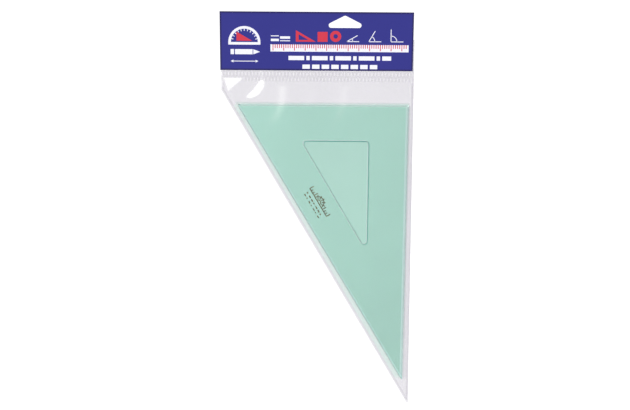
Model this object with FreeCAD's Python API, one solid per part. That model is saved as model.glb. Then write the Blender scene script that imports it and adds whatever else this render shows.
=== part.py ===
import FreeCAD
import Part
import math
import os

# A 30/60/90 acrylic set square hanging in its sealed clear bag under a folded header card.
# Millimetres. The origin is the middle of the hang hole, +X to the right as seen from the front,
# +Z up and the front facing -Y. The bag's two films meet in the plane y = 0.

# Set square: the long leg hangs on the right, the short leg is on top, the 30 degree tip points down.
long_leg = 210.0
tip_angle = 30.0
sheet_thickness = 2.0
bevel_width = 1.2
bevel_depth = 0.6
plate_corner_radius = 0.4

# The cut-out, by the width of the band left along each edge, and the blank that stays in it.
band_top = 26.0
band_side = 27.7
band_slope = 26.1
window_corner_radius = 2.4
saw_kerf = 0.35

# Header card: one strip folded over the top of the bag.
card_height = 41.3
card_thickness = 0.4
card_overhang_left = 0.4
card_inset_right = 1.05

# Hang hole: a low rounded triangle, placed from the card's right and top edges.
hole_width = 22.8
hole_height = 8.5
hole_corner_radius = 1.8
hole_from_top = 2.6
hole_from_right = 47.8

# Bag: two films, the welds along their edges, and the crimped seal that comes out from under the card.
film_thickness = 0.1
film_below_hole = 8.2
weld_side = 1.4
weld_slope = 1.8
weld_left = 1.8
bead_width = 0.45
bead_height = 0.08
bead_below_card = 0.5
tip_blunt = 1.2

# Crimp: two rows of upright bosses with pointed ends, one row half a pitch aside of the other.
crimp_pitch = 2.4
crimp_boss_width = 1.1
crimp_boss_height = 3.2
crimp_boss_point = 0.8
crimp_emboss = 0.08
crimp_row_gap = 0.6
crimp_from_edge = 1.2
crimp_below_card = 8.3

# Room in the bag: around the square at rest, from its edges to the bag's edges, and over it. The
# margins are those at the square's top corners. From there the bag's two long edges lean outwards.
film_gap = 0.3
margin_side = 3.2
margin_slope = 4.8
lean_side = 0.35
lean_slope = 0.25
room_left = 11.3
room_above = 16.2
left_wall_run = 2.6
slide_travel = 13.5

cos_tip = math.cos(math.radians(tip_angle))
sin_tip = math.sin(math.radians(tip_angle))
short_leg = long_leg * sin_tip / cos_tip
pocket_depth = sheet_thickness / 2.0 + film_gap

# Heights, from the hang hole down.
card_top = hole_height / 2.0 + hole_from_top
film_top = -hole_height / 2.0 - film_below_hole
card_bottom = card_top - card_height
crimp_bottom = card_bottom - crimp_below_card
square_top = crimp_bottom - room_above

# Widths, from the card's right edge to the left.
card_right = hole_from_right
bag_right = card_right + card_inset_right
square_right = bag_right - margin_side
bag_left = square_right - short_leg - room_left
card_left = bag_left - card_overhang_left


def point(x, z, y=0.0):
    return FreeCAD.Vector(x, y, z)


def triangle(inset_top, inset_side, inset_slope):
    # The set square's outline moved inwards: right angle, 60 degree corner, 30 degree tip.
    top = square_top - inset_top
    side = square_right - inset_side
    tip_height = square_top - long_leg
    corner = square_right + (inset_slope - sin_tip * (top - tip_height)) / cos_tip
    tip = tip_height + (inset_slope + cos_tip * inset_side) / sin_tip
    return [(side, top), (corner, top), (side, tip)]


def bag_triangle(top, inset_side, inset_slope):
    # The bag's outline moved inwards, from a height down to the point where its long edges meet.
    side_run = math.tan(math.radians(lean_side))
    slope_run = math.tan(math.radians(tip_angle - lean_slope))
    side = bag_right - inset_side / math.cos(math.radians(lean_side))
    corner = square_right - short_leg - margin_slope / cos_tip
    corner += inset_slope / math.cos(math.radians(tip_angle - lean_slope))
    drop = (side - corner) / (slope_run - side_run)
    rise = top - square_top
    return [(side - rise * side_run, top), (corner - rise * slope_run, top),
            (side + drop * side_run, square_top - drop)]


def face_of(corners, y):
    points = [point(x, z, y) for x, z in corners]
    return Part.Face(Part.makePolygon(points + points[:1]))


def prism(corners, y_front, y_back):
    return face_of(corners, y_front).extrude(point(0, 0, y_back - y_front))


def runs_through(edge):
    # True for the short edges that cross the sheet from face to face.
    start, end = (vertex.Point for vertex in edge.Vertexes)
    return abs(start.x - end.x) < 1e-6 and abs(start.z - end.z) < 1e-6


def sheet_triangle(corners, radius):
    half = sheet_thickness / 2.0
    sheet = prism(corners, -half, half)
    return sheet.makeFillet(radius, [edge for edge in sheet.Edges if runs_through(edge)])


def bevelled_sheet():
    # Both faces stop short of the edge by the width of the polished bevel.
    face = sheet_thickness / 2.0
    rim = face - bevel_depth
    inner = triangle(bevel_width, bevel_width, bevel_width)
    outer = triangle(0, 0, 0)
    levels = [(inner, -face), (outer, -rim), (outer, rim), (inner, face)]
    return Part.makeLoft([face_of(corners, y).OuterWire for corners, y in levels], True, True)


def make_set_square():
    plate = bevelled_sheet().common(sheet_triangle(triangle(0, 0, 0), plate_corner_radius))
    return plate.cut(sheet_triangle(triangle(band_top, band_side, band_slope), window_corner_radius))


def make_window_blank():
    # One kerf smaller than the cut-out on every side.
    corners = triangle(band_top + saw_kerf, band_side + saw_kerf, band_slope + saw_kerf)
    return sheet_triangle(corners, window_corner_radius - saw_kerf)


def bag_sheet(inset, top, front, back):
    # The bag's outline cut off upright on the left and blunt at the tip.
    corners = bag_triangle(top, inset, inset)
    left = bag_left + inset
    tip_x, tip_z = corners[2]
    low = tip_z + tip_blunt / math.tan(math.radians(tip_angle - lean_slope - lean_side))
    frame = Part.makeBox(tip_x - left, back - front, top - low, point(left, low, front))
    return prism(corners, front, back).common(frame)


def weld_bead():
    # The thick rim that the trimming weld leaves along the three long edges of one film.
    front = -film_thickness - bead_height
    top = card_bottom - bead_below_card
    whole = bag_sheet(0, top, front, -film_thickness)
    return whole.cut(bag_sheet(bead_width, top, front, -film_thickness))


def crimp_boss(x, low):
    half = crimp_boss_width / 2.0
    high = low + crimp_boss_height
    corners = [(x, low), (x + half, low + crimp_boss_point), (x + half, high - crimp_boss_point),
               (x, high), (x - half, high - crimp_boss_point), (x - half, low + crimp_boss_point)]
    return prism(corners, -film_thickness - crimp_emboss, -film_thickness)


def crimp_bosses():
    first = bag_left + crimp_from_edge + crimp_boss_width / 2.0
    last = bag_right - crimp_from_edge - crimp_boss_width / 2.0
    bosses = []
    for row in (0, 1):
        x = first + row * crimp_pitch / 2.0
        low = crimp_bottom + crimp_row_gap / 2.0 + row * (crimp_boss_height + crimp_row_gap)
        while x <= last:
            bosses.append(crimp_boss(x, low))
            x += crimp_pitch
    return bosses


def pocket(shift):
    # The room between the weld plane and the front film: a shallow tray with sloping walls.
    seam = bag_triangle(crimp_bottom, weld_side, weld_slope)
    lifted = square_top + slide_travel + film_gap
    floor = bag_triangle(lifted, margin_side - film_gap, margin_slope - film_gap)
    near, far = -shift, -pocket_depth - shift
    tray = Part.makeLoft([face_of(seam, near).OuterWire, face_of(floor, far).OuterWire], True, True)
    left = bag_left + weld_left
    right, low = seam[2]
    section = [(left, near), (left + left_wall_run, far), (right, far), (right, near)]
    points = [point(x, crimp_bottom, y) for x, y in section]
    wall = Part.Face(Part.makePolygon(points + points[:1]))
    return tray.common(wall.extrude(point(0, low - crimp_bottom)))


def make_front_film():
    film = bag_sheet(0, film_top, -film_thickness, 0)
    film = film.fuse(pocket(film_thickness)).cut(pocket(0.0))
    return film.fuse([weld_bead()] + crimp_bosses())


def make_back_film(front_film):
    return front_film.mirror(point(0, 0), point(0, 0, 1))


def hang_hole(depth):
    # Hull of three equal circles: two at the base corners and one at the peak.
    reach = hole_width / 2.0 - hole_corner_radius
    low = hole_corner_radius - hole_height / 2.0
    centres = [point(-reach, low, -depth), point(reach, low, -depth), point(0, -low, -depth)]
    outline = Part.makePolygon(centres + centres[:1]).makeOffset2D(hole_corner_radius)
    return Part.Face(outline).extrude(point(0, 0, 2 * depth))


def fold_arc(start, end, radius):
    crown = point(card_left, card_top - film_thickness - card_thickness + radius)
    return Part.Arc(start, crown, end).toShape()


def straight(start, end):
    return Part.LineSegment(start, end).toShape()


def make_header_card():
    # Both panels lie on the films, and the card bends round their thickness at the fold.
    inner = film_thickness
    outer = film_thickness + card_thickness
    low = {y: point(card_left, card_bottom, y) for y in (-outer, -inner, inner, outer)}
    high = {y: point(card_left, card_top - outer, y) for y in low}
    profile = Part.Wire([
        straight(low[-outer], high[-outer]),
        fold_arc(high[-outer], high[outer], outer),
        straight(high[outer], low[outer]),
        straight(low[outer], low[inner]),
        straight(low[inner], high[inner]),
        fold_arc(high[inner], high[-inner], inner),
        straight(high[-inner], low[-inner]),
        straight(low[-inner], low[-outer]),
    ])
    card = Part.Face(profile).extrude(point(card_right - card_left, 0))
    return card.cut(hang_hole(2 * outer))


def main():
    front_film = make_front_film()
    pieces = {
        "set_square": make_set_square(),
        "window_blank": make_window_blank(),
        "bag_front_film": front_film,
        "bag_back_film": make_back_film(front_film),
        "header_card": make_header_card(),
    }
    os.makedirs("parts", exist_ok=True)
    for name, shape in pieces.items():
        shape.exportStep("parts/" + name + ".step")
        box = shape.BoundBox
        print(name, "solids", len(shape.Solids), "valid", shape.isValid(), "volume", round(shape.Volume, 2))
        print("   x", round(box.XMin, 2), round(box.XMax, 2), "y", round(box.YMin, 2), round(box.YMax, 2),
              "z", round(box.ZMin, 2), round(box.ZMax, 2))


main()
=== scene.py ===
import math
import bmesh
import bpy
import numpy as np
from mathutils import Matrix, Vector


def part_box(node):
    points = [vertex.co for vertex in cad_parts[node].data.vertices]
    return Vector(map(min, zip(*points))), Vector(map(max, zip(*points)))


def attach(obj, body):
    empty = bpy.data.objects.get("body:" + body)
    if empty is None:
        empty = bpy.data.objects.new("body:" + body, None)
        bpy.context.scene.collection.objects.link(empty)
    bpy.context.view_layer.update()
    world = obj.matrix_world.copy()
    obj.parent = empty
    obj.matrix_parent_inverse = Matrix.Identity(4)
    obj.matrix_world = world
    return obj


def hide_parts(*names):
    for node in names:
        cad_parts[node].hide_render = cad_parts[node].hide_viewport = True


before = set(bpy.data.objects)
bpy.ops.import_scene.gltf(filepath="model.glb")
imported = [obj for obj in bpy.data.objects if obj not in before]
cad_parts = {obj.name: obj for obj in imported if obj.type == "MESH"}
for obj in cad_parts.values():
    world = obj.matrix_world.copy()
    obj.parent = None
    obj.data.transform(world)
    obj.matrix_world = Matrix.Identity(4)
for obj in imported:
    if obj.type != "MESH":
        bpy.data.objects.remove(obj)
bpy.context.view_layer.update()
mm = 0.001
print("frame loaded")

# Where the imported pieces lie, in metres.
plateLow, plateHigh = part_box("set_square")
filmLow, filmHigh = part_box("bag_front_film")
cardLow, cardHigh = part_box("header_card")
tan30 = math.tan(math.radians(30))
cos30, sin30 = math.cos(math.radians(30)), math.sin(math.radians(30))

view = {
    "place": (-13.3 * mm, -970.3 * mm, 149.3 * mm),
    "turn": (73.79, -0.31, 0.50),  # degrees about X, Y, Z
    "lens": 80,
}


def addCamera():
    camera = bpy.data.objects.new("camera", bpy.data.cameras.new("camera"))
    camera.data.lens = view["lens"]
    camera.data.clip_start = 0.01
    camera.location = view["place"]
    camera.rotation_euler = [math.radians(angle) for angle in view["turn"]]
    bpy.context.collection.objects.link(camera)
    bpy.context.scene.camera = camera


def meshPiece(name, points, faces):
    mesh = bpy.data.meshes.new(name)
    mesh.from_pydata(points.tolist(), [], faces)
    mesh.update()
    piece = bpy.data.objects.new(name, mesh)
    bpy.context.collection.objects.link(piece)
    return piece


def smooth(piece):
    piece.data.polygons.foreach_set("use_smooth", [True] * len(piece.data.polygons))


class Socket:
    # An output socket of a finish. An expression on it adds Math nodes, and a comparison gives 0 or 1.

    def __init__(self, finish, link):
        self.finish = finish
        self.link = link

    def maths(self, operation, *values):
        return self.finish.node("ShaderNodeMath", {"operation": operation}, dict(enumerate(values)))

    def __add__(self, other):
        return self.maths("ADD", self, other)

    def __radd__(self, other):
        return self.maths("ADD", other, self)

    def __sub__(self, other):
        return self.maths("SUBTRACT", self, other)

    def __rsub__(self, other):
        return self.maths("SUBTRACT", other, self)

    def __mul__(self, other):
        return self.maths("MULTIPLY", self, other)

    def __rmul__(self, other):
        return self.maths("MULTIPLY", other, self)

    def __lt__(self, other):
        return self.maths("LESS_THAN", self, other)

    def __gt__(self, other):
        return self.maths("GREATER_THAN", self, other)

    def __abs__(self):
        return self.maths("ABSOLUTE", self)

    def lesser(self, other):
        return self.maths("MINIMUM", self, other)

    def between0and1(self):
        return self.maths("MINIMUM", self.maths("MAXIMUM", self, 0.0), 1.0)


class Finish:
    # A new material. One method adds every node, and the others only name common ones.

    def __init__(self, name):
        self.material = bpy.data.materials.new(name)
        self.material.use_nodes = True
        self.tree = self.material.node_tree
        self.tree.nodes.clear()
        self.place = self.node("ShaderNodeTexCoord", output="Object")

    def node(self, kind, settings=None, inputs=None, output=0):
        made = self.tree.nodes.new(kind)
        for key, value in (settings or {}).items():
            setattr(made, key, value)
        for key, value in (inputs or {}).items():
            if isinstance(value, Socket):
                self.tree.links.new(value.link, made.inputs[key])
            else:
                made.inputs[key].default_value = value
        return Socket(self, made.outputs[output])

    def part(self, vector, axis):
        return self.node("ShaderNodeSeparateXYZ", inputs={0: vector}, output=axis)

    def noise(self, scale, detail=2.0):
        return self.node("ShaderNodeTexNoise", inputs={
            "Vector": self.place, "Scale": scale, "Detail": detail})

    def mix(self, amount, first, second):
        return self.node("ShaderNodeMix", {"data_type": "RGBA"}, {0: amount, 6: first, 7: second}, 2)

    def pointValue(self, name):
        return self.node("ShaderNodeAttribute", {"attribute_name": name}, output="Fac")

    def bump(self, height, strength, distance):
        return self.node("ShaderNodeBump", inputs={
            "Height": height, "Strength": strength, "Distance": distance})

    def glossy(self, **inputs):
        named = {key.replace("_", " "): value for key, value in inputs.items()}
        return self.node("ShaderNodeBsdfPrincipled", inputs=named)

    def overClear(self, cover, shader):
        clear = self.node("ShaderNodeBsdfTransparent")
        return self.node("ShaderNodeMixShader", inputs={0: cover, 1: clear, 2: shader})

    def done(self, shader):
        output = self.tree.nodes.new("ShaderNodeOutputMaterial")
        self.tree.links.new(shader.link, output.inputs["Surface"])
        return self.material


stage = {
    "floorHeight": -0.62,
    "front": -4.0,
    "back": 2.4,
    "wallHeight": 3.0,
    "bend": 0.8,
    "halfWidth": 4.0,
    "paint": (0.2, 0.2, 0.2, 1),
    "glow": 0.92,
}


def stageFinish():
    finish = Finish("white_stage")
    tone = finish.noise(3.0) * 0.01 + 0.985
    colour = finish.node("ShaderNodeCombineColor", inputs={0: tone, 1: tone, 2: tone})
    return finish.done(finish.glossy(
        Base_Color=stage["paint"], Roughness=0.9,
        Emission_Color=colour, Emission_Strength=stage["glow"]))


def addStage():
    # A floor that bends up into a wall: its section is the floor, a quarter circle and the wall.
    low, back, bend = stage["floorHeight"], stage["back"], stage["bend"]
    turn = np.linspace(0, math.pi / 2, 25)
    y = np.concatenate([[stage["front"]], back - bend + bend * np.sin(turn), [back]])
    z = np.concatenate([[low], low + bend - bend * np.cos(turn), [low + stage["wallHeight"]]])
    wide = stage["halfWidth"]
    points = np.concatenate([np.stack([np.full_like(y, side), y, z], 1) for side in (-wide, wide)])
    count = len(y)
    faces = [(i + count, i + 1 + count, i + 1, i) for i in range(count - 1)]
    backdrop = meshPiece("backdrop", points, faces)
    backdrop.data.materials.append(stageFinish())
    smooth(backdrop)


lamps = {
    "key": {"place": (-0.9, -1.2, 1.1), "size": 0.9, "power": 4.7},
    "fill": {"place": (1.1, -1.3, 0.5), "size": 1.0, "power": 2.4},
    "low": {"place": (-0.42, -1.05, -0.42), "size": 0.16, "power": 0.9},
    "back": {"place": (0.6, 1.3, 0.7), "size": 0.9, "power": 5},
}
worldGlow = 0.92


def addLamp(name, place, size, power):
    lamp = bpy.data.objects.new(name, bpy.data.lights.new(name, "AREA"))
    lamp.data.energy = power
    lamp.data.size = size
    lamp.location = place
    middle = (plateLow + plateHigh) / 2
    lamp.rotation_euler = (middle - lamp.location).to_track_quat("-Z", "Y").to_euler()
    bpy.context.collection.objects.link(lamp)


def addLights():
    for name, lamp in lamps.items():
        addLamp(name, **lamp)
    world = bpy.data.worlds.new("studio")
    world.use_nodes = True
    world.node_tree.nodes["Background"].inputs["Color"].default_value = (1, 1, 1, 1)
    world.node_tree.nodes["Background"].inputs["Strength"].default_value = worldGlow
    bpy.context.scene.world = world
    bpy.context.scene.view_settings.view_transform = "Standard"


addCamera()
addStage()
addLights()
print("camera, stage and lights set")

acrylic = {
    "longLeg": 210 * mm,
    "tint": (0.507, 0.882, 0.726, 1),
    "deepTint": (0.424, 0.742, 0.606, 1),
    "blankTint": (0.535, 0.872, 0.728, 1),
    "deepBlankTint": (0.505, 0.836, 0.692, 1),
    # The next five colours are painted highlight and painted shade along the square's cut edges.
    "slopeEdgeLight": (0.62, 0.95, 0.85, 1),
    "slopeRimShade": (0.36, 0.58, 0.505, 1),
    "sideEdgeLight": (0.61, 0.83, 0.755, 1),
    "sideGleam": (0.59, 0.85, 0.77, 1),
    "topEdgeShade": (0.54, 0.72, 0.66, 1),
    "bevel": 1.2 * mm,
    "rimWidth": 0.45 * mm,
    "gleamWidth": 0.8 * mm,
    "topGlow": (0.36, 0.46, 0.43, 1),  # light that the sheet guides to its top edge
    "topGlowWidth": 0.72 * mm,
    "bevelGlow": (0.09, 0.09, 0.08, 1),
    "sideGlow": (0.42, 0.70, 0.60, 1),  # and to its other two cut faces
    "slopeGlow": (0.14, 0.26, 0.22, 1),
    "cutGlow": (0.01, 0.03, 0.025, 1),
    "noGlow": (0, 0, 0, 1),
    "deeperAcross": 5.0, "deeperDown": 3.0, "deeperFrom": 0.22,  # per metre, and where it begins
    "cloudScale": 14.0, "cloudDepth": 0.3,
    "rubScale": 60.0, "rub": 0.05, "leastRub": 0.03,
    "refraction": 1.49,
}
cornerX, cornerZ = plateHigh.x, plateHigh.z
slopeTopX = cornerX - acrylic["longLeg"] * tan30


def slopeInset(x, z):
    # Distance inwards from the sloping edge: (x - x0) cos 30 + (z - z0) sin 30, on numbers or sockets.
    return (x - slopeTopX) * cos30 + (z - cornerZ) * sin30


def slopeX(z, inset):
    # The same line solved for x.
    return slopeTopX + (inset - (z - cornerZ) * sin30) / cos30


def acrylicFinish(name, tint, deepTint, edged):
    finish = Finish(name)
    x, z = finish.part(finish.place, 0), finish.part(finish.place, 2)
    # The sheet is drawn a little darker towards its right edge and its tip.
    towards = (x - slopeTopX) * acrylic["deeperAcross"] + (cornerZ - z) * acrylic["deeperDown"]
    clouds = finish.noise(acrylic["cloudScale"]) * acrylic["cloudDepth"]
    colour = finish.mix((towards - acrylic["deeperFrom"] + clouds).between0and1(), tint, deepTint)
    acrossSheet = finish.part(finish.node("ShaderNodeNewGeometry", output="Normal"), 1)
    cutFace = abs(acrossSheet) < 0.5
    glow = finish.mix(cutFace, acrylic["noGlow"], acrylic["cutGlow"])
    if edged:
        bevel, gleam = acrylic["bevel"], acrylic["gleamWidth"]
        slope, side, top = slopeInset(x, z), cornerX - x, cornerZ - z
        # Bands of painted light and shade along the edges: a painted highlight beside the side bevel,
        # painted shade over the top bevel, paler painted light over the side and sloping bevels, and a
        # thin line of painted shade at the sloping edge.
        colour = finish.mix(abs(side - bevel - gleam / 2) < gleam / 2, colour, acrylic["sideGleam"])
        colour = finish.mix(top < bevel, colour, acrylic["topEdgeShade"])
        colour = finish.mix(side < bevel, colour, acrylic["sideEdgeLight"])
        colour = finish.mix(slope < bevel, colour, acrylic["slopeEdgeLight"])
        colour = finish.mix(slope < acrylic["rimWidth"], colour, acrylic["slopeRimShade"])
        glow = finish.mix(cutFace * (side < bevel / 2), glow, acrylic["sideGlow"])
        glow = finish.mix(cutFace * (slope < bevel / 2), glow, acrylic["slopeGlow"])
        clearOfSlope = slope > bevel * 1.3
        glow = finish.mix((top < bevel) * clearOfSlope, glow, acrylic["bevelGlow"])
        glow = finish.mix((top < acrylic["topGlowWidth"]) * clearOfSlope, glow, acrylic["topGlow"])
    rub = finish.noise(acrylic["rubScale"]) * acrylic["rub"] + acrylic["leastRub"]
    return finish.done(finish.glossy(
        Base_Color=colour, Roughness=rub, IOR=acrylic["refraction"], Transmission_Weight=1.0,
        Emission_Color=glow, Emission_Strength=1.0))


def dress(nodeName, material):
    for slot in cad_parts[nodeName].material_slots:
        slot.material = material


dress("set_square", acrylicFinish("green_acrylic", acrylic["tint"], acrylic["deepTint"], True))
dress("window_blank", acrylicFinish(
    "green_acrylic_blank", acrylic["blankTint"], acrylic["deepBlankTint"], False))
print("acrylic dressed")


def bar(left, low, right, high):
    # A rectangle's four corners.
    return [(left, low), (right, low), (right, high), (left, high)]


def hollow(outer, inner):
    # Quads that fill the band between two outlines with as many corners each.
    count = len(outer)
    return [[outer[i], outer[(i + 1) % count], inner[(i + 1) % count], inner[i]] for i in range(count)]


def arcBand(x, z, inside, outside, start, end):
    # Part of a ring: out along the outer arc and back along the inner one. Angles in degrees, and
    # a corner about every 7.5 of them.
    angle = np.radians(np.linspace(start, end, 3 + int((end - start) / 7.5)))
    far = np.stack([x + outside * np.cos(angle), z + outside * np.sin(angle)], 1)
    near = np.stack([x + inside * np.cos(angle), z + inside * np.sin(angle)], 1)
    return [np.concatenate([far, near[::-1]]).tolist()]


def spoke(x, z, inside, outside, angle, stroke):
    # A straight stroke that points away from a centre, between two distances from it.
    along = np.array([math.cos(math.radians(angle)), math.sin(math.radians(angle))])
    side = np.array([-along[1], along[0]]) * stroke / 2
    start, end = np.array([x, z]) + along * inside, np.array([x, z]) + along * outside
    return [start - side, end - side, end + side, start + side]


def facingFront(shape):
    # Corners in the order that turns the face to the front: the shoelace sum is positive.
    corner = np.array(shape, float)
    following = np.roll(corner, -1, 0)
    area = np.sum(corner[:, 0] * following[:, 1] - following[:, 0] * corner[:, 1])
    return corner if area > 0 else corner[::-1]


def flatPiece(name, shapes, onto, lift, material, body):
    # Thin flat polygons: onto turns their two coordinates into points in the frame.
    shapes = [facingFront(shape) for shape in shapes]
    starts = np.cumsum([0] + [len(shape) for shape in shapes])
    faces = [tuple(range(start, end)) for start, end in zip(starts[:-1], starts[1:])]
    flat = np.concatenate(shapes)
    piece = meshPiece(name, onto(flat[:, 0], flat[:, 1]), faces)
    joined = bmesh.new()
    joined.from_mesh(piece.data)
    bmesh.ops.remove_doubles(joined, verts=joined.verts, dist=0.002 * mm)
    joined.to_mesh(piece.data)
    joined.free()
    coat = piece.modifiers.new("coat", "SOLIDIFY")
    coat.thickness = lift * 0.8
    coat.offset = -1
    piece.data.materials.append(material)
    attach(piece, body)


sawCut = {
    "bandTop": 26.0 * mm, "bandSide": 27.7 * mm, "bandSlope": 26.1 * mm,
    "radius": 2.4 * mm,
    "kerf": 0.35 * mm,
    "lift": 0.01 * mm,
    "patchiness": 0.2, "patchScale": 90.0,
    "shade": {"width": 0.58 * mm, "colour": (0.07, 0.43, 0.33, 1), "cover": 0.62,
              "outerShift": (0.22 * mm, -0.05 * mm), "innerShift": (0.1 * mm, -0.18 * mm)},
    "gleam": {"width": 0.65 * mm, "colour": (0.80, 1.0, 0.92, 1), "cover": 0.45,
              "outerShift": (-0.6 * mm, 0.6 * mm), "innerShift": (-0.6 * mm, 0.6 * mm)},
}


def windowOutline(radius, inset):
    # The window moved inwards: an arc of one radius at each of its three corners, which turn by
    # 90, 120 and 150 degrees.
    upper = cornerZ - sawCut["bandTop"] - inset - radius
    right = cornerX - sawCut["bandSide"] - inset - radius
    slope = sawCut["bandSlope"] + inset + radius
    lowest = cornerZ + (slope - (right - slopeTopX) * cos30) / sin30
    arcs = []
    for x, z, start, end in ((right, upper, 0, 90), (slopeX(upper, slope), upper, 90, 210),
                             (right, lowest, 210, 360)):
        angle = np.radians(np.linspace(start, end, 13))
        arcs.append(np.stack([x + radius * np.cos(angle), z + radius * np.sin(angle)], 1))
    return np.concatenate(arcs)


def onCut(x, z):
    # On the square's front face, lifted a little.
    return np.stack([x, np.full_like(x, plateLow.y - sawCut["lift"]), z], 1)


def cutLine(name, width, outerShift, innerShift, colour, cover):
    # A flat band along the saw cut, between two outlines a width apart: the shade band is painted shade
    # and the gleam band a painted highlight. Each is moved a little, so that the band is broader on some
    # sides than on others, and noise makes its cover uneven.
    middle = sawCut["kerf"] / 2
    outer = windowOutline(sawCut["radius"] - middle + width / 2, middle - width / 2) + outerShift
    inner = windowOutline(sawCut["radius"] - middle - width / 2, middle + width / 2) + innerShift
    finish = Finish("window_cut_" + name)
    wearAndPatchiness = finish.noise(sawCut["patchScale"]) * sawCut["patchiness"] + (cover - sawCut["patchiness"] / 2)
    paint = finish.glossy(Base_Color=colour, Roughness=0.4, Specular_IOR_Level=0.2)
    flatPiece("window_cut_" + name, hollow(outer, inner), onCut, sawCut["lift"],
              finish.done(finish.overClear(wearAndPatchiness, paint)), "square")


cutLine("shade", **sawCut["shade"])
cutLine("gleam", **sawCut["gleam"])
print("saw cut lined")


def inkFinish(name, colour, wornColour, roughness):
    # An even ink with fine specks of a worn colour.
    finish = Finish(name)
    tone = finish.mix(finish.noise(700.0, 3.0), colour, wornColour)
    return finish.done(finish.glossy(Base_Color=tone, Roughness=roughness, Specular_IOR_Level=0.3))


foil = {
    "middle": (-17.4 * mm, -130.2 * mm),
    "length": 24,  # this and the next three are in millimetres
    "stroke": 0.65,
    "base": -1.0,
    "arcs": (4.0, 1.6),
    "colour": (0.10, 0.10, 0.012, 1),
    "wearAndPatchiness": (0.20, 0.20, 0.06, 1),
    "lift": 0.012 * mm,
}


def foilShapes():
    # A protractor's arcs on a graduated line along the slope, and two rows of dashes under it.
    half, stroke, base = foil["length"] / 2, foil["stroke"], foil["base"]
    shapes = [bar(-half, base, half, base + stroke)]
    for i in range(-6, 7):
        if abs(i) > 2:
            shapes.append(bar(2 * i - stroke / 2, base, 2 * i + stroke / 2, 2.6 if i % 3 == 0 else 1.2))
    for radius in foil["arcs"]:
        shapes += arcBand(0, base + 0.2, radius, radius + stroke, 0, 180)
    shapes += [spoke(0, base + 0.2, 2.6, 5.6, angle, stroke) for angle in range(30, 180, 30)]
    for i in range(7):
        left = 1.4 - half + 3.1 * i
        shapes.append(bar(left, -4.2, left + (2.1 if i % 3 else 1.2), -3.3))
        shapes.append(bar(left + 0.4, -6.5, left + (1.3 if i % 2 else 2.2), -5.7))
    return shapes


def onSquare(u, v):
    # u runs down along the slope and v inwards from it.
    x = foil["middle"][0] + (u * sin30 + v * cos30) * mm
    z = foil["middle"][1] + (v * sin30 - u * cos30) * mm
    return np.stack([x, np.full_like(x, plateLow.y - foil["lift"]), z], 1)


flatPiece("foil_scale", foilShapes(), onSquare, foil["lift"],
          inkFinish("gold_foil", foil["colour"], foil["wearAndPatchiness"], 0.6), "square")
print("foil stamped")

card = {
    "blue": (0.029, 0.030, 0.214, 1),
    "paleBlue": (0.034, 0.035, 0.230, 1),
    "rimBlue": (0.021, 0.018, 0.10, 1),
    "rim": 1.6 * mm,
    "core": (0.80, 0.79, 0.76, 1),
    "white": (0.86, 0.86, 0.91, 1),
    "wornWhite": (0.74, 0.74, 0.84, 1),
    "red": (0.60, 0.020, 0.040, 1),
    "wornRed": (0.55, 0.035, 0.075, 1),
    "whiteLift": 0.015 * mm,
    "redLift": 0.03 * mm,
    "fold": 1.0 * mm,
    "roughness": 0.42,
    "protractor": (17.1, -21.4),  # millimetres from the card's upper left corner
    "angleBase": -20.6,
}


def cardFinish():
    finish = Finish("printed_card")
    fibre = finish.noise(900.0, 4.0)
    colour = finish.mix(finish.noise(30.0), card["blue"], card["paleBlue"])
    # The card is drawn darker along its four edges.
    x, z = finish.part(finish.place, 0), finish.part(finish.place, 2)
    edge = (x - cardLow.x).lesser(cardHigh.x - x).lesser(z - cardLow.z).lesser(cardHigh.z - z)
    colour = finish.mix((1.6 - edge * (1.6 / card["rim"])).between0and1(), colour, card["rimBlue"])
    # The cut edges under the fold show the card's pale core. They face sideways or down.
    facing = finish.part(finish.node("ShaderNodeNewGeometry", output="Normal"), 1)
    cut = (abs(facing) < 0.5) * (z < cardHigh.z - card["fold"])
    colour = finish.mix(cut, colour, card["core"])
    return finish.done(finish.glossy(
        Base_Color=colour, Roughness=card["roughness"], Specular_IOR_Level=0.12,
        Normal=finish.bump(fibre, 0.15, 0.04 * mm)))


def angleShapes(left, base, opening, size):
    # Two thin legs that meet at an angle, and the arc between them.
    return [spoke(left, base, 0, size, 0, 0.55), spoke(left, base, 0, size, opening, 0.55)] + arcBand(
        left, base, size * 0.45, size * 0.45 + 0.5, 0, opening)


def dashRow(left, right, low, high, lengths, gap):
    # Dashes of the given lengths in turn, with equal gaps.
    shapes = []
    turn = 0
    while left < right:
        length = lengths[turn % len(lengths)]
        shapes.append(bar(left, low, min(left + length, right), high))
        left += length + gap
        turn += 1
    return shapes


def whiteShapes():
    # In millimetres from the card's upper left corner: first a protractor.
    middle, base = card["protractor"]
    shapes = arcBand(middle, base, 9.4, 11.2, 0, 180)
    shapes.append(bar(middle - 11.2, base - 1.8, middle + 11.2, base))
    shapes += [spoke(middle, base, 7.9, 9.5, angle, 0.5) for angle in range(15, 180, 15)]
    # A pencil, with a dimension line under it.
    shapes += [bar(7.4, -30.0, 9.8, -26.4), bar(10.5, -30.0, 22.8, -26.4),
               [(23.3, -30.0), (28.0, -28.2), (23.3, -26.4)]]
    shapes += [bar(9.2, -35.1, 25.0, -34.6), [(7.4, -34.85), (9.4, -35.8), (9.4, -33.9)],
               [(26.8, -34.85), (24.8, -33.9), (24.8, -35.8)]]
    # A ruler's blank strip, and over it a divided bar and three angles.
    shapes += [bar(35.3, -27.9, 131.8, -22.9)]
    base = card["angleBase"]
    shapes += [bar(35.6, base, 41.2, -18.9), bar(42.0, -18.9, 49.0, -17.2),
               bar(35.6, -17.2, 41.2, -16.6), bar(42.0, base, 49.0, -20.0)]
    for left, opening in ((88.6, 30), (104.0, 60), (119.4, 90)):
        shapes += angleShapes(left, base, opening, 8.6)
    # Two rows of line samples.
    shapes += dashRow(47.9, 119.8, -33.9, -30.9, (11.0, 2.4), 1.5)
    return shapes + dashRow(57.7, 110.6, -40.0, -37.0, (5.2,), 1.55)


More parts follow.
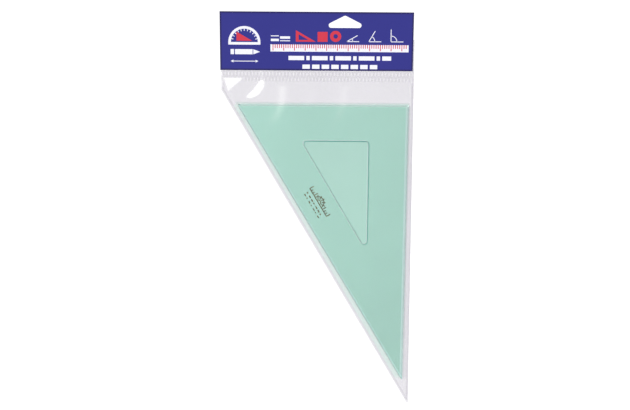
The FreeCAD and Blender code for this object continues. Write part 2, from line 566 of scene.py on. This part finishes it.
def redShapes():
    # The ruler's marks, a square, a disc and set squares.
    shapes = [bar(36.8 + 1.5 * i, -25.5 if i % 5 else -27.2, 37.4 + 1.5 * i, -22.9) for i in range(63)]
    shapes += hollow([(53.0, -20.9), (67.0, -20.9), (53.0, -12.8)],
                     [(55.0, -19.6), (61.8, -19.6), (55.0, -15.7)])
    shapes += [bar(68.2, -20.9, 75.2, -13.9)] + arcBand(80.8, -17.0, 1.6, 3.9, 0, 180)
    shapes += arcBand(80.8, -17.0, 1.6, 3.9, 180, 360)
    return shapes + [[(11.6, -20.5), (22.6, -20.5), (11.6, -14.1)]]


def onCard(lift):
    # u runs right and v up from the card's upper left corner.
    def onto(u, v):
        return np.stack([cardLow.x + u * mm, np.full_like(u, cardLow.y - lift), cardHigh.z + v * mm], 1)
    return onto


dress("header_card", cardFinish())
flatPiece("card_print_white", whiteShapes(), onCard(card["whiteLift"]), card["whiteLift"],
          inkFinish("white_ink", card["white"], card["wornWhite"], 0.5), "pack")
flatPiece("card_print_red", redShapes(), onCard(card["redLift"]), card["redLift"] / 2,
          inkFinish("red_ink", card["red"], card["wornRed"], 0.5), "pack")
print("card printed")

film = {
    "marginSide": 3.2 * mm, "marginSlope": 4.8 * mm,  # beside the square's top corners
    "leanSide": 0.35, "leanSlope": 0.25,  # degrees that the long edges lean outwards
    "weldSide": 1.4 * mm, "weldSlope": 1.8 * mm, "weldLeft": 1.8 * mm,
    "wallSide": 1.5 * mm, "wallSlope": 2.7 * mm, "wallLeft": 2.6 * mm, "wallTop": 2.4 * mm,
    "crimpBelowCard": 8.3 * mm,
    "depth": 1.32 * mm, "rim": 0.06 * mm, "thickness": 0.05 * mm,
    "beadWidth": 0.45 * mm, "beadHeight": 0.08 * mm,
    "pitch": 2.4 * mm, "bossWidth": 1.1 * mm, "bossHeight": 3.2 * mm, "rowGap": 0.6 * mm,
    "emboss": 0.10 * mm, "fromEdge": 1.2 * mm,
    "waveHeight": 0.05 * mm, "creaseHeight": 0.3 * mm,
    "cloudScale": 22.0, "cloudCover": 0.02,
    "gleamCover": 0.5, "gleamToWhite": 16,  # a faint gleam is white already
    "wrinkleScale": 240.0, "wrinkle": 0.25, "wrinkleHeight": 0.1 * mm,
    # Place across in millimetres, width, length downwards and strength of each streak.
    "streaks": ((-43.5, 2.9, 27, 0.035), (-22, 2.2, 18, 0.008),
                (0, 2.2, 28, 0.02), (22, 1.8, 12, 0.006)),
    "haze": (0.09, 0.045, 0.16, 1),
    "greenLightColour": (0.01, 0.27, 0.20, 1),
    "white": (1.0, 1.0, 1.0, 1),
    "cover": 0.102,  # of each of a film's two faces
    "weldCover": 0.035, "beadCover": 0.02,
    # The three fold covers are painted shade beside the square's edges, and the green cover is painted
    # green light.
    "sideFoldShadeCover": 0.10, "slopeFoldShadeCover": 0.065, "topFoldShadeCover": 0.04, "greenLightCover": 0.03,
    "crimpCover": 0.02, "bossCover": -0.033,
}
crimpBottom = cardLow.z - film["crimpBelowCard"]
leanSide = math.radians(film["leanSide"])
bagSlope = math.radians(30 - film["leanSlope"])
bagLeft = filmLow.x


def bagEdges(z):
    # Where the bag's sloping edge and its side edge lie at a height.
    slope = slopeTopX - film["marginSlope"] / cos30 + (cornerZ - z) * math.tan(bagSlope)
    side = cornerX + film["marginSide"] + (cornerZ - z) * math.tan(leanSide)
    return slope, side


def bagGrid():
    # Columns run from the bag's left edge to its right one, closer together at both welds. The crimped
    # strip has three columns for each one of the pouch below it.
    weld = np.array([0, 0.15, 0.3, 0.45, 0.6, 0.9, 1.3, 1.7, 2.1, 2.5, 3.0, 3.6, 4.4]) * mm
    middle = np.linspace(0, 1, 142)[1:-1]
    stripZ = np.concatenate([np.linspace(filmHigh.z, cardLow.z, 4)[:-1],
                             np.linspace(cardLow.z, crimpBottom, 25)])
    creased, tip = crimpBottom - 20 * mm, filmLow.z
    pouchZ = np.concatenate([np.linspace(crimpBottom, creased, 34)[:-1], np.linspace(creased, tip, 116)])

    def columns(z):
        slope, side = (edge[:, None] for edge in bagEdges(z))
        left = np.maximum(bagLeft, slope)
        squeeze = np.minimum(1, (side - left) / (3 * weld[-1]))
        near = left + weld * squeeze
        far = side - weld[::-1] * squeeze
        return np.concatenate([near, near[:, -1:] + (far[:, :1] - near[:, -1:]) * middle, far], 1)

    pouchX, coarse = columns(pouchZ), columns(stripZ)
    count = coarse.shape[1]
    fine = np.linspace(0, count - 1, 3 * (count - 1) + 1)
    stripX = np.stack([np.interp(fine, np.arange(count), row) for row in coarse])
    return stripX, stripZ, pouchX, pouchZ


def crimpHeight(x, z):
    # 0 to 1 over the bosses: upright lozenges in two rows, one row half a pitch aside.
    height = np.zeros_like(x)
    for row in (0, 1):
        low = crimpBottom + film["rowGap"] / 2 + row * (film["bossHeight"] + film["rowGap"])
        first = bagLeft + film["fromEdge"] + film["bossWidth"] / 2 + row * film["pitch"] / 2
        across = np.abs((x - first + film["pitch"] / 2) % film["pitch"] - film["pitch"] / 2)
        along = np.abs(z - low - film["bossHeight"] / 2) / (film["bossHeight"] / 2)
        boss = 1 - across / (film["bossWidth"] / 2) - np.maximum(0, along - 0.5) * 2
        height = np.maximum(height, np.where(along < 1, np.clip(boss * 1.6, 0, 1), 0))
    return height


def rise(value):
    # Smooth step from 0 to 1: 3 t^2 - 2 t^3.
    t = np.clip(value, 0, 1)
    return t * t * (3 - 2 * t)


def bell(value, middle, width):
    # e to the minus ((value - middle) / width)^2.
    return np.exp(-((value - middle) / width) ** 2)


def puckers(x, z):
    # Two creases by the upper left corner: a three-cornered dent, and a bent ridge with a forked top.
    # Each is the least of its distances inwards from its sides, in millimetres, through a smooth step.
    u, v = (x - bagLeft) / mm, (crimpBottom - z) / mm
    dent = np.minimum.reduce([v + 2.5, (u - 3.1 - 0.41 * v) / 1.1, (12.1 - 1.15 * v - u) / 1.5])
    spine = 28.5 - 0.26 * v - 0.046 * v * v
    width = (2.3 + 0.15 * v) * np.clip(1 - ((v - 5.0) / 6.4) ** 4, 0, 1) ** 0.5
    notch = 1.2 * np.clip(1 - (v + 1.2) / 2.6, 0, 1)
    ridge = np.minimum(width - np.abs(u - spine), np.abs(u - spine) - notch + 1.4)
    return np.maximum(rise(dent / 3.4 + 0.2), rise(ridge / 3.6 + 0.16))


def streaks(x, z):
    # Soft upright ridges that hang from the crimp: a bell across, fading downwards.
    total = np.zeros_like(x)
    for place, width, length, strength in film["streaks"]:
        down = (crimpBottom - z) / (length * mm)
        ridge = bell(x + 6 * mm * down ** 3, place * mm, width * mm)
        total = total + strength * ridge * rise(down * 6) * rise((1.3 - down) * 1.6)
    return total


def filmShape(x, z, side):
    # Depth of one film off the weld plane: a tray whose floor is reached by a smooth step over the run
    # of the nearest wall, and on it waves, creases, the weld's bead and the crimp. Also how much each
    # point covers what lies behind it, with painted shade beside the square's edges, how white its
    # painted highlight (gleam) is and how much painted green light it shows.
    leftEdge, rightEdge = bagEdges(z)
    right = (rightEdge - x) * math.cos(leanSide)
    slope = (x - leftEdge) * math.cos(bagSlope)
    left, top = x - bagLeft, crimpBottom - z
    runs = [(right - film["weldSide"]) / film["wallSide"],
            (slope - film["weldSlope"]) / film["wallSlope"],
            (left - film["weldLeft"]) / film["wallLeft"],
            top / film["wallTop"]]
    step = rise(np.minimum.reduce(runs))
    below = z < cardLow.z
    edge = np.minimum.reduce([right, slope, left])
    bead = np.clip(1 - edge / film["beadWidth"], 0, 1) * below
    crimp = crimpHeight(x, z) * below
    gleam = np.zeros_like(x)
    if side < 0:
        # The front film alone creases, and its creases and streaks carry a painted highlight.
        gleam = puckers(x, z) * below + streaks(x, z) * step
    waves = np.sin(x * 95 + side + 2.1 * np.sin(z * 41)) * np.sin(z * 63 + 1.7 * side)
    depth = film["rim"] + (film["depth"] - film["rim"]) * step
    depth = depth + (film["waveHeight"] * waves + film["creaseHeight"] * gleam) * step
    depth = depth + bead * film["beadHeight"] + crimp * film["emboss"]
    # A weld covers more than the pouch does. That fades out over a third of its wall's run.
    welded = (1 - rise(np.minimum.reduce(runs[:2]) * 3)) + (1 - rise(runs[2] * 3)) * 0.4
    # The film folds round the square's edges: these are distances outwards from them.
    outSlope, outSide, outTop = -slopeInset(x, z), x - cornerX, z - cornerZ
    beside = rise(-outTop / mm) * rise((z - plateLow.z) / (3 * mm) + 0.2)
    welded = np.maximum(np.clip(welded, 0, 1) * (top > 0), rise(outSide / mm - 0.7) * beside)
    # Bands along these folds are painted shade on the film; the side and top bands also carry painted
    # green light.
    sideFoldPaintedLight = bell(outSide, 0.3 * mm, 0.6 * mm) * beside
    slopeFoldShade = bell(outSlope, 0.3 * mm, 0.45 * mm) * beside
    topFoldPaintedLight = bell(outTop, 0.6 * mm, 0.8 * mm) * rise(1 - outSlope / mm) * rise(1 - outSide / mm)
    rim = rise((film["beadWidth"] * 2 - edge) / film["beadWidth"])
    cover = film["cover"] + film["weldCover"] * welded + film["beadCover"] * rim
    cover = cover + film["sideFoldShadeCover"] * sideFoldPaintedLight + film["slopeFoldShadeCover"] * slopeFoldShade
    # The sloping weld and the left one thin out towards their edges.
    cover = cover * (0.35 + 0.65 * rise(np.minimum(slope, left) / (1.6 * mm)))
    cover = cover + film["crimpCover"] * rise(-top / mm) + film["bossCover"] * crimp
    # Beside the sloping edge and over the top one the film is painted green: painted light from the
    # square's edges.
    green = rise(outSlope / mm + 0.7) * rise(runs[1] * 1.6 + 0.2) * beside
    green = np.maximum.reduce([green, topFoldPaintedLight, 0.5 * sideFoldPaintedLight])
    cover = cover + film["greenLightCover"] * green + film["topFoldShadeCover"] * topFoldPaintedLight
    return depth, {"cover": cover, "gleam": np.clip(gleam, 0, 1), "green": green}


def rowsOfQuads(first, rows, columns):
    # The quads of a grid whose points are numbered row by row, from first on.
    index = first + np.arange(rows - 1)[:, None] * columns + np.arange(columns - 1)
    return np.stack([index, index + 1, index + columns + 1, index + columns], -1).reshape(-1, 4).tolist()


def makeFilm(nodeName, side, material):
    # The strip's last row and the pouch's first one would lie on one line. The strip's is left out,
    # and six-cornered faces join the row over it to the pouch, three columns to one.
    stripX, stripZ, pouchX, pouchZ = bagGrid()
    fine, coarse = stripX.shape[1], pouchX.shape[1]
    x = np.concatenate([stripX[:-1].ravel(), pouchX.ravel()])
    z = np.concatenate([np.repeat(stripZ[:-1], fine), np.repeat(pouchZ, coarse)])
    depth, marks = filmShape(x, z, side)
    rows = len(stripZ) - 1
    first, seam = rows * fine, (rows - 1) * fine
    faces = rowsOfQuads(0, rows, fine) + rowsOfQuads(first, len(pouchZ), coarse)
    for i in range(coarse - 1):
        start = seam + 3 * i
        faces.append((start, start + 1, start + 2, start + 3, first + i + 1, first + i))
    if side < 0:
        faces = [face[::-1] for face in faces]
    piece = meshPiece(nodeName + "_skin", np.stack([x, side * depth, z], 1), faces)
    for name, values in marks.items():
        attribute = piece.data.attributes.new(name, "FLOAT", "POINT")
        attribute.data.foreach_set("value", values.astype(np.float32))
    smooth(piece)
    wall = piece.modifiers.new("wall", "SOLIDIFY")
    wall.thickness = film["thickness"]
    wall.offset = 0
    piece.data.materials.append(material)
    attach(piece, "pack")
    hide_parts(nodeName)


def filmFinish():
    # Clear where nothing covers, with a thin haze, painted shade, painted green light and painted
    # highlights (gleams) as the film's own points say.
    finish = Finish("clear_film")
    cover, gleam = finish.pointValue("cover"), finish.pointValue("gleam")
    cloud = finish.noise(film["cloudScale"])
    clouded = cover + (cloud - 0.5) * film["cloudCover"]
    amount = (clouded + gleam * film["gleamCover"]).between0and1()
    colour = finish.mix(finish.pointValue("green"), film["haze"], film["greenLightColour"])
    colour = finish.mix((gleam * film["gleamToWhite"]).between0and1(), colour, film["white"])
    wrinkles = finish.noise(film["wrinkleScale"], 3.0)
    sheen = finish.glossy(
        Base_Color=colour, Roughness=cloud * 0.1 + 0.08, Specular_IOR_Level=1.0,
        Normal=finish.bump(wrinkles, film["wrinkle"], film["wrinkleHeight"]))
    return finish.done(finish.overClear(amount, sheen))


clearFilm = filmFinish()
makeFilm("bag_front_film", -1, clearFilm)
makeFilm("bag_back_film", 1, clearFilm)
print("film hung")
